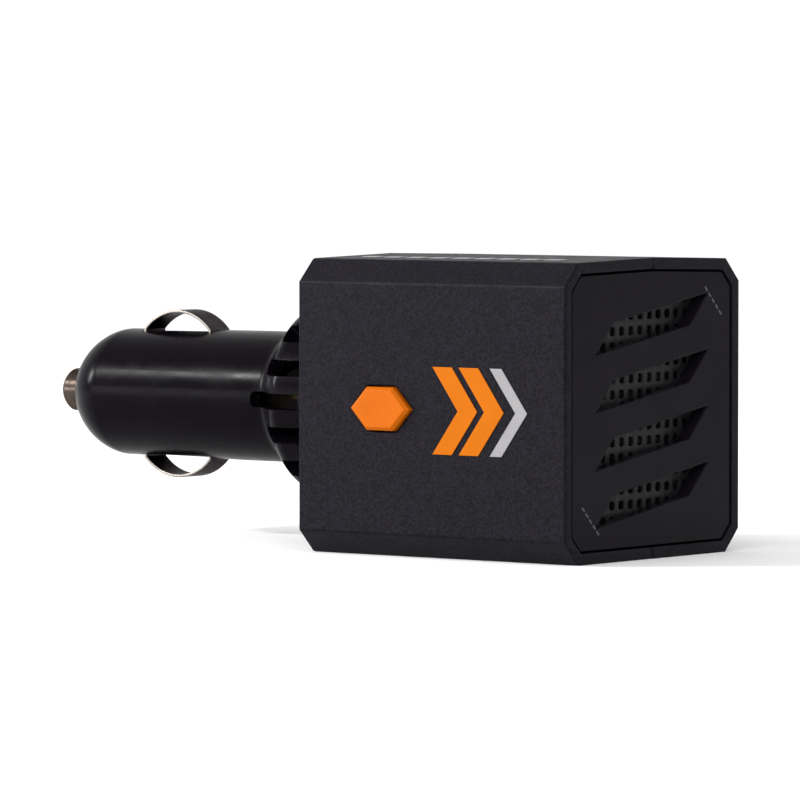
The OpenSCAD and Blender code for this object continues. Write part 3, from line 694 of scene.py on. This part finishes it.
nickel = plated_metal(
    "nickel_plate", (0.055, 0.042, 0.035), (0.09, 0.072, 0.06), 0.19, (4, 0.5, 0.5), edge=0.4
)
shoulder_r = tip_r + 1 * mm
tip_dome_r = 4.1 * mm
dome_edge = math.asin(tip_r / tip_dome_r)
dome_middle = contact_low[0] + tip_dome_r
outline = bow(dome_middle, 0, tip_dome_r, math.pi, math.pi - dome_edge, 12)
outline += [(nose_x + seat_depth, tip_r), (nose_x + seat_depth, shoulder_r)]
outline += [(contact_high[0], shoulder_r), (contact_high[0], 0)]
stud = keep_piece(spun(outline, 96), "contact_stud", nickel, "centre_contact")
round_edges(stud, 0.12 * mm, 40)
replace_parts(stud, "tip_contact")

# ---- Ground contacts ----
# Two bowed strips of polished spring steel whose feet stay inside the barrel.
# A straight edge is spun into the bow, its ends are drawn down into feet, and it gets its gauge.
# The sides that the shears left bare are brighter than the rolled faces: partly bare metal, partly a painted
# highlight along the edges.
strip_w = 5 * mm
strip_t = 0.45 * mm
strip_low, strip_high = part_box("ground_contact_top")
strip_x = (strip_low[0] + strip_high[0]) / 2
strip_half = 7.1 * mm
strip_rise = 3.15 * mm
bow_r = (strip_half ** 2 + strip_rise ** 2) / (2 * strip_rise)
bow_z = strip_high[2] - bow_r
bow_a = math.asin(strip_half / bow_r)
# Brighter steel for the sheared sides, partly bare metal and partly a painted highlight.
bare_edge_and_painted_highlight = plated_metal("bare_edge_and_painted_highlight", (0.20, 0.18, 0.16), (0.30, 0.275, 0.25), 0.34, (0.1, 1, 1))
spring_steel = plated_metal(
    "spring_steel", (0.05, 0.043, 0.046), (0.08, 0.07, 0.075), 0.34, (0.08, 1, 1), edge=0.4
)
foot_z = strip_low[2] + strip_t
foot_path = ((0, foot_z + 1.2 * mm), (0.1 * mm, foot_z), (1.1 * mm, foot_z))


def bowed_strip(name, side, body):
    """One contact strip; side is 1 on top and -1 below."""
    bm = bmesh.new()
    ends = [bm.verts.new((strip_x, y, bow_z + bow_r)) for y in (-strip_w / 2, strip_w / 2)]
    edge = bm.edges.new(ends)
    turn = Matrix.Rotation(-bow_a, 3, "Y")
    bmesh.ops.rotate(bm, cent=(strip_x, 0, bow_z), matrix=turn, verts=ends)
    bmesh.ops.spin(
        bm, geom=ends + [edge], cent=(strip_x, 0, bow_z), axis=(0, 1, 0), angle=2 * bow_a, steps=40
    )
    for way in (-1, 1):
        rim = [e for e in bm.edges if e.is_boundary and abs(e.verts[0].co.x - e.verts[1].co.x) < 1e-7]
        last = max(rim, key=lambda e: way * e.verts[0].co.x)
        for dx, z in foot_path:
            drawn = bmesh.ops.extrude_edge_only(bm, edges=[last])["geom"]
            for v in verts_in(drawn):
                v.co.x = strip_x + way * (strip_half + dx)
                v.co.z = z
            last = [g for g in drawn if isinstance(g, bmesh.types.BMEdge)][0]
    bmesh.ops.recalc_face_normals(bm, faces=bm.faces)
    if max(bm.faces, key=lambda f: f.calc_center_median().z).normal.z < 0:
        bmesh.ops.reverse_faces(bm, faces=bm.faces)
    bmesh.ops.solidify(bm, geom=bm.faces[:], thickness=strip_t)
    if side < 0:
        bmesh.ops.scale(bm, vec=(1, 1, -1), verts=bm.verts)
    # The sheared sides take the brighter steel, which is partly a painted highlight.
    for face in bm.faces:
        if abs(face.normal.y) > 0.7:
            face.material_index = 1
    strip = keep_piece(bm, name, spring_steel, body)
    strip.data.materials.append(bare_edge_and_painted_highlight)
    round_edges(strip, 0.1 * mm, 50, 2)
    return strip


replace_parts(bowed_strip("contact_strip_top", 1, "top_strip"), "ground_contact_top")
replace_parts(bowed_strip("contact_strip_bottom", -1, "bottom_strip"), "ground_contact_bottom")

# ---- Top print ----
# A row of short printed dashes along the top of the near half, in place of a line of lettering.
# Each dash is a thin bar laid on the slope of the roof.
print_low, print_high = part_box("top_print")
dash_count = 9
dash_gap = 1.2 * mm
dash_w = 2 * mm
dash_t = 0.12 * mm
dash_y = -13.8 * mm
dash_step = (print_high[0] - print_low[0] + dash_gap) / dash_count
roof_slope = math.atan(crown / (half_w - chamfer))
bm = bmesh.new()
for step in range(dash_count):
    bar = bmesh.ops.create_cube(bm, size=1)["verts"]
    bmesh.ops.scale(bm, vec=(dash_step - dash_gap, dash_w, dash_t), verts=bar)
    middle = print_low[0] + step * dash_step + (dash_step - dash_gap) / 2
    bmesh.ops.translate(bm, vec=(middle, dash_y, dash_t / 2), verts=bar)
bmesh.ops.rotate(bm, cent=(0, 0, 0), matrix=Matrix.Rotation(roof_slope, 3, "X"), verts=bm.verts)
bmesh.ops.translate(bm, vec=(0, 0, half_h + crown), verts=bm.verts)
dashes = keep_piece(bm, "top_dashes", grey_ink, "housing")
round_edges(dashes, 0.04 * mm, 50, 2)
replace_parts(dashes, "top_print")

# ---- Inner parts ----
# What shows through the slots and the perforated plate keeps its solid from the frame.
# Each gets its own finish: moulded plastic, bare metal, lacquered board, tape and wire.
cream_plastic = moulded_plastic(
    "cream_plastic", (0.60, 0.55, 0.44), (0.68, 0.64, 0.53), 0.45, 0.4 * mm, 0.004 * mm
)
phenolic_brown = moulded_plastic(
    "phenolic_brown", (0.010, 0.006, 0.004), (0.016, 0.010, 0.007), 0.5, 0.4 * mm, 0.004 * mm, 0.2
)
dark_plastic = moulded_plastic(
    "fan_plastic", (0.012, 0.012, 0.013), (0.018, 0.018, 0.019), 0.4, 0.4 * mm, 0.004 * mm
)
chip_plastic = moulded_plastic(
    "chip_plastic", (0.02, 0.02, 0.022), (0.03, 0.03, 0.032), 0.6, 0.1 * mm, 0.006 * mm
)
ferrite = moulded_plastic("ferrite", (0.035, 0.035, 0.038), (0.06, 0.06, 0.065), 0.62, 0.3 * mm, 0.01 * mm)
tape = moulded_plastic("winding_tape", (0.62, 0.42, 0.05), (0.74, 0.52, 0.08), 0.35, 0.6 * mm, 0.01 * mm)
blue_sleeve = moulded_plastic(
    "capacitor_sleeve", (0.012, 0.022, 0.09), (0.018, 0.03, 0.12), 0.25, 0.4 * mm, 0.003 * mm
)
ceramic = moulded_plastic("ceramic", (0.72, 0.71, 0.68), (0.8, 0.79, 0.77), 0.55, 0.15 * mm, 0.004 * mm)
red_wire = moulded_plastic(
    "red_insulation", (0.16, 0.006, 0.006), (0.22, 0.01, 0.01), 0.38, 0.4 * mm, 0.004 * mm
)
black_wire = moulded_plastic(
    "black_insulation", (0.015, 0.015, 0.016), (0.022, 0.022, 0.024), 0.4, 0.4 * mm, 0.004 * mm
)
screw_steel = plated_metal("screw_steel", (0.38, 0.38, 0.39), (0.52, 0.52, 0.53), 0.32, (1, 4, 1))
brass = plated_metal("brass", (0.55, 0.37, 0.14), (0.70, 0.50, 0.22), 0.3, (0.2, 1, 1))
copper = plated_metal("copper_wire", (0.52, 0.22, 0.10), (0.68, 0.32, 0.16), 0.28, (1, 0.2, 1))
sink_metal = plated_metal("sink_aluminium", (0.55, 0.55, 0.56), (0.68, 0.68, 0.69), 0.38, (1, 0.15, 1))


def circuit_board():
    """Green lacquer over copper tracks, in cells of 1.27 by 0.64 mm."""
    material, shader, nodes, link, place = material_nodes("board_lacquer", 0.28)
    tracks = nodes.new("ShaderNodeTexBrick")
    tracks.inputs["Scale"].default_value = 1 / (2.54 * mm)
    tracks.inputs["Mortar Size"].default_value = 0.06
    tracks.inputs["Color1"].default_value = (0.012, 0.10, 0.03, 1)
    tracks.inputs["Color2"].default_value = (0.016, 0.12, 0.035, 1)
    tracks.inputs["Mortar"].default_value = (0.03, 0.19, 0.06, 1)
    turned = nodes.new("ShaderNodeMapping")
    turned.inputs["Rotation"].default_value = (math.radians(90), 0, 0)
    link(place, turned.inputs["Vector"])
    link(turned.outputs["Vector"], tracks.inputs["Vector"])
    link(tracks.outputs["Color"], shader.inputs["Base Color"])
    link(relief(nodes, link, tracks.outputs["Fac"], 0.03 * mm, 0.5), shader.inputs["Normal"])
    return material


def clear_glass():
    """Thin drawn glass with a few faint smears."""
    material, shader, nodes, link, place = material_nodes("fuse_glass", 0.06)
    shader.inputs["Transmission Weight"].default_value = 1.0
    shader.inputs["IOR"].default_value = 1.47
    shader.inputs["Base Color"].default_value = (0.93, 0.97, 0.96, 1)
    smears = noise(nodes, link, place, 2 * mm, 5, (0.3, 1, 1))
    link(spread(nodes, link, smears, 0.03, 0.14), shader.inputs["Roughness"])
    return material


board_lacquer = circuit_board()
fuse_glass = clear_glass()
finishes = {
    "housing_screws": screw_steel, "board_screws": screw_steel, "fan_screws": screw_steel,
    "fan_shaft": screw_steel, "button_plunger": cream_plastic, "fuse_holder": phenolic_brown,
    "emitter_holder": phenolic_brown, "tip_spring": spring_steel, "ground_bracket": brass,
    "fuse_terminal": brass, "fuse_glass": fuse_glass, "fuse_cap_front": nickel,
    "fuse_cap_rear": nickel, "fuse_element": nickel, "positive_wire": red_wire,
    "negative_wire": black_wire, "fan_lead": red_wire, "emitter_leads": black_wire,
    "main_board": board_lacquer, "push_switch": chip_plastic, "control_chip": chip_plastic,
    "switching_transistor": chip_plastic, "transformer_core": ferrite, "transformer_winding": tape,
    "capacitor_large": blue_sleeve, "capacitor_small": blue_sleeve, "heat_sink": sink_metal,
    "choke_coil": copper, "fan_stator": copper, "fan_frame": dark_plastic,
    "fan_rotor": dark_plastic, "fan_magnet_ring": ferrite, "emitter_plate": ceramic,
}
for name, finish in finishes.items():
    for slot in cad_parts[name].material_slots:
        slot.material = finish

# ---- Studio ----
# A plain pale sweep behind and under the box, in a white room with a wide light from above.
# Four soft lamps on the plug's side make the long glints along the barrel, the nose and the edges.
# The sweep is a bent sheet square to the camera's heading.
floor_z = -half_h - 0.02 * mm
sweep_half_w = 6
sweep_near = -3
sweep_profile = ((3, 0), (3.6, 0.18), (4.0, 0.7), (4.1, 4))
sweep_matte = bpy.data.materials.new("sweep_matte")
sweep_matte.use_nodes = True
sweep_shader = sweep_matte.node_tree.nodes["Principled BSDF"]
sweep_shader.inputs["Base Color"].default_value = (0.9, 0.9, 0.9, 1)
sweep_shader.inputs["Roughness"].default_value = 0.9
sweep_shader.inputs["Specular IOR Level"].default_value = 0.1
bm = bmesh.new()
near_edge = [bm.verts.new((x, sweep_near, 0)) for x in (-sweep_half_w, sweep_half_w)]
edge = bm.edges.new(near_edge)
for y, z in sweep_profile:
    drawn = bmesh.ops.extrude_edge_only(bm, edges=[edge])["geom"]
    for v in verts_in(drawn):
        v.co.y = y
        v.co.z = z
    edge = [g for g in drawn if isinstance(g, bmesh.types.BMEdge)][0]
bmesh.ops.rotate(bm, cent=(0, 0, 0), matrix=Matrix.Rotation(view_azimuth, 3, "Z"), verts=bm.verts)
bmesh.ops.translate(bm, vec=(box_middle, 0, floor_z), verts=bm.verts)
sweep = keep_piece(bm, "sweep", sweep_matte, None)
level_back = Vector((back.x, back.y, 0)).normalized()


def lamp_frame(name, lamp, side, height, toward):
    """Places a lamp from the camera's own right, up and back, aimed at the unit."""
    holder = bpy.data.objects.new(name, lamp)
    bpy.context.collection.objects.link(holder)
    holder.location = view_centre + right * side + level_back * toward + Vector((0, 0, height))
    holder.rotation_euler = (holder.location - view_centre).to_track_quat("Z", "Y").to_euler()


def soft_lamp(name, side, height, toward, wide, high, power):
    """A rectangular soft lamp, wide and high, aimed at the unit."""
    lamp = bpy.data.lights.new(name, "AREA")
    lamp.shape = "RECTANGLE"
    lamp.size = wide
    lamp.size_y = high
    lamp.energy = power
    lamp_frame(name, lamp, side, height, toward)


soft_lamp("left_lamp", side=-1.0, height=0.06, toward=0.25, wide=0.6, high=0.14, power=1.8)
soft_lamp("spot_lamp", side=-0.874, height=0.47, toward=0.117, wide=0.07, high=0.07, power=5.6)
soft_lamp("nose_lamp", side=-0.93, height=0.29, toward=-0.22, wide=0.07, high=0.2, power=5.0)
soft_lamp("edge_lamp", side=-0.38, height=0.02, toward=0.92, wide=0.12, high=0.5, power=1.2)
sky = bpy.data.lights.new("room_light", "SUN")
sky.energy = 1.1
sky.angle = math.radians(80)
lamp_frame("room_light", sky, side=-0.2, height=0.6, toward=1.0)
world = bpy.data.worlds.new("studio_air")
world.use_nodes = True
world.node_tree.nodes["Background"].inputs["Color"].default_value = (1, 1, 1, 1)
world.node_tree.nodes["Background"].inputs["Strength"].default_value = 0.88
bpy.context.scene.world = world
bpy.context.scene.view_settings.view_transform = "Standard"
